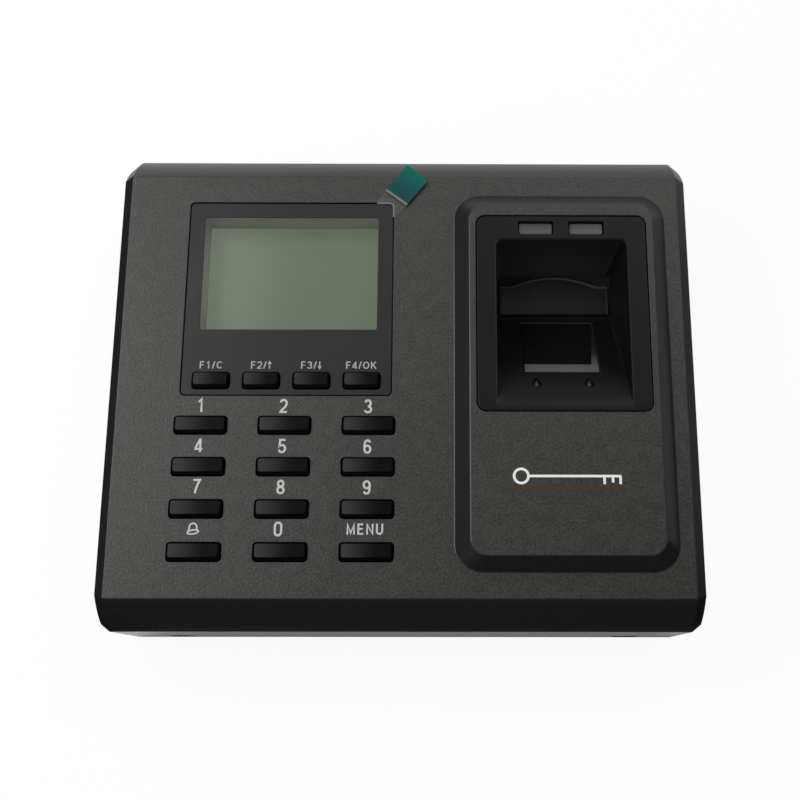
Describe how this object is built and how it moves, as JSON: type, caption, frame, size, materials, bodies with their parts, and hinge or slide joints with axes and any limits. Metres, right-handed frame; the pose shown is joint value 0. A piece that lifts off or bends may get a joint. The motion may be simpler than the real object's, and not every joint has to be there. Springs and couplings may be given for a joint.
{
  "type": "fingerprint access terminal",
  "caption": "Wall-mounted access terminal with a display, a keypad and a sloped finger recess over an optical sensor, in a chamfered black housing on a steel wall plate.",
  "frame": {"origin": "centre of the outline on the wall face of the mounting plate", "axes": "+X to the right of the face, +Y to its top, +Z out of the wall"},
  "size_m": [0.1804, 0.1546, 0.0462],
  "materials": {
    "cover_grain": "fine grained, satin",
    "panel_smooth": "smooth, semi-gloss",
    "clear_window": "clear, gloss",
    "display": "grey-green, satin",
    "film": "clear film",
    "key_black": "satin",
    "scanner_black": "smooth, semi-gloss",
    "light_window": "clear, frosted below",
    "sensor_glass": "dark, polished",
    "silicone": "matt",
    "board": "solder mask",
    "screw_steel": "zinc plated",
    "plate_steel": "zinc plated sheet",
    "socket_plastic": "moulded",
    "terminal_green": "moulded",
    "ribbon": "flat cable",
    "plunger_red": "moulded",
    "rear_black": "moulded, satin"
  },
  "bodies": {
    "housing": {"front_cover": "cover_grain", "display_panel": "panel_smooth", "display_window": "clear_window", "lcd_module": "display", "protective_film": "film", "scanner_bezel": "scanner_black", "fingertip_stop": "scanner_black", "led_window_left": "light_window", "led_window_right": "light_window", "sensor_prism": "sensor_glass", "keypad_mat": "silicone", "keypad_board": "board", "main_board": "board", "sensor_board": "board", "led_board": "board", "keypad_screw_1": "screw_steel", "keypad_screw_2": "screw_steel", "keypad_screw_3": "screw_steel", "keypad_screw_4": "screw_steel", "board_screw_1": "screw_steel", "board_screw_2": "screw_steel", "board_screw_3": "screw_steel", "board_screw_4": "screw_steel", "case_screw_1": "screw_steel", "case_screw_2": "screw_steel", "case_screw_3": "screw_steel", "case_screw_4": "screw_steel", "lock_screw_left": "screw_steel", "lock_screw_right": "screw_steel", "mounting_plate": "plate_steel", "coin_cell": "plate_steel", "network_jack": "socket_plastic", "lock_relay": "socket_plastic", "tamper_switch": "socket_plastic", "speaker": "socket_plastic", "sensor_camera": "socket_plastic", "lock_terminal": "terminal_green", "power_terminal": "terminal_green", "ribbon_cable": "ribbon", "rear_cover": "rear_black"},
    "key_1": {"key_1": "key_black"},
    "key_2": {"key_2": "key_black"},
    "key_3": {"key_3": "key_black"},
    "key_4": {"key_4": "key_black"},
    "key_5": {"key_5": "key_black"},
    "key_6": {"key_6": "key_black"},
    "key_7": {"key_7": "key_black"},
    "key_8": {"key_8": "key_black"},
    "key_9": {"key_9": "key_black"},
    "key_0": {"key_0": "key_black"},
    "key_bell": {"key_bell": "key_black"},
    "key_menu": {"key_menu": "key_black"},
    "function_key_1": {"function_key_1": "key_black"},
    "function_key_2": {"function_key_2": "key_black"},
    "function_key_3": {"function_key_3": "key_black"},
    "function_key_4": {"function_key_4": "key_black"},
    "tamper_plunger": {"tamper_plunger": "plunger_red"}
  },
  "joints": [
    {"name": "press_key_1", "type": "slide", "parent": "housing", "child": "key_1", "axis": [0, 0, -1], "range_m": [0, 0.0008], "stiffness_N_per_m": 1500},
    {"name": "press_key_2", "type": "slide", "parent": "housing", "child": "key_2", "axis": [0, 0, -1], "range_m": [0, 0.0008], "stiffness_N_per_m": 1500},
    {"name": "press_key_3", "type": "slide", "parent": "housing", "child": "key_3", "axis": [0, 0, -1], "range_m": [0, 0.0008], "stiffness_N_per_m": 1500},
    {"name": "press_key_4", "type": "slide", "parent": "housing", "child": "key_4", "axis": [0, 0, -1], "range_m": [0, 0.0008], "stiffness_N_per_m": 1500},
    {"name": "press_key_5", "type": "slide", "parent": "housing", "child": "key_5", "axis": [0, 0, -1], "range_m": [0, 0.0008], "stiffness_N_per_m": 1500},
    {"name": "press_key_6", "type": "slide", "parent": "housing", "child": "key_6", "axis": [0, 0, -1], "range_m": [0, 0.0008], "stiffness_N_per_m": 1500},
    {"name": "press_key_7", "type": "slide", "parent": "housing", "child": "key_7", "axis": [0, 0, -1], "range_m": [0, 0.0008], "stiffness_N_per_m": 1500},
    {"name": "press_key_8", "type": "slide", "parent": "housing", "child": "key_8", "axis": [0, 0, -1], "range_m": [0, 0.0008], "stiffness_N_per_m": 1500},
    {"name": "press_key_9", "type": "slide", "parent": "housing", "child": "key_9", "axis": [0, 0, -1], "range_m": [0, 0.0008], "stiffness_N_per_m": 1500},
    {"name": "press_key_0", "type": "slide", "parent": "housing", "child": "key_0", "axis": [0, 0, -1], "range_m": [0, 0.0008], "stiffness_N_per_m": 1500},
    {"name": "press_key_bell", "type": "slide", "parent": "housing", "child": "key_bell", "axis": [0, 0, -1], "range_m": [0, 0.0008], "stiffness_N_per_m": 1500},
    {"name": "press_key_menu", "type": "slide", "parent": "housing", "child": "key_menu", "axis": [0, 0, -1], "range_m": [0, 0.0008], "stiffness_N_per_m": 1500},
    {"name": "press_function_key_1", "type": "slide", "parent": "housing", "child": "function_key_1", "axis": [0, 0, -1], "range_m": [0, 0.0008], "stiffness_N_per_m": 1500},
    {"name": "press_function_key_2", "type": "slide", "parent": "housing", "child": "function_key_2", "axis": [0, 0, -1], "range_m": [0, 0.0008], "stiffness_N_per_m": 1500},
    {"name": "press_function_key_3", "type": "slide", "parent": "housing", "child": "function_key_3", "axis": [0, 0, -1], "range_m": [0, 0.0008], "stiffness_N_per_m": 1500},
    {"name": "press_function_key_4", "type": "slide", "parent": "housing", "child": "function_key_4", "axis": [0, 0, -1], "range_m": [0, 0.0008], "stiffness_N_per_m": 1500},
    {"name": "press_tamper_plunger", "type": "slide", "parent": "housing", "child": "tamper_plunger", "axis": [0, 0, 1], "range_m": [0, 0.0012], "stiffness_N_per_m": 500}
  ]
}
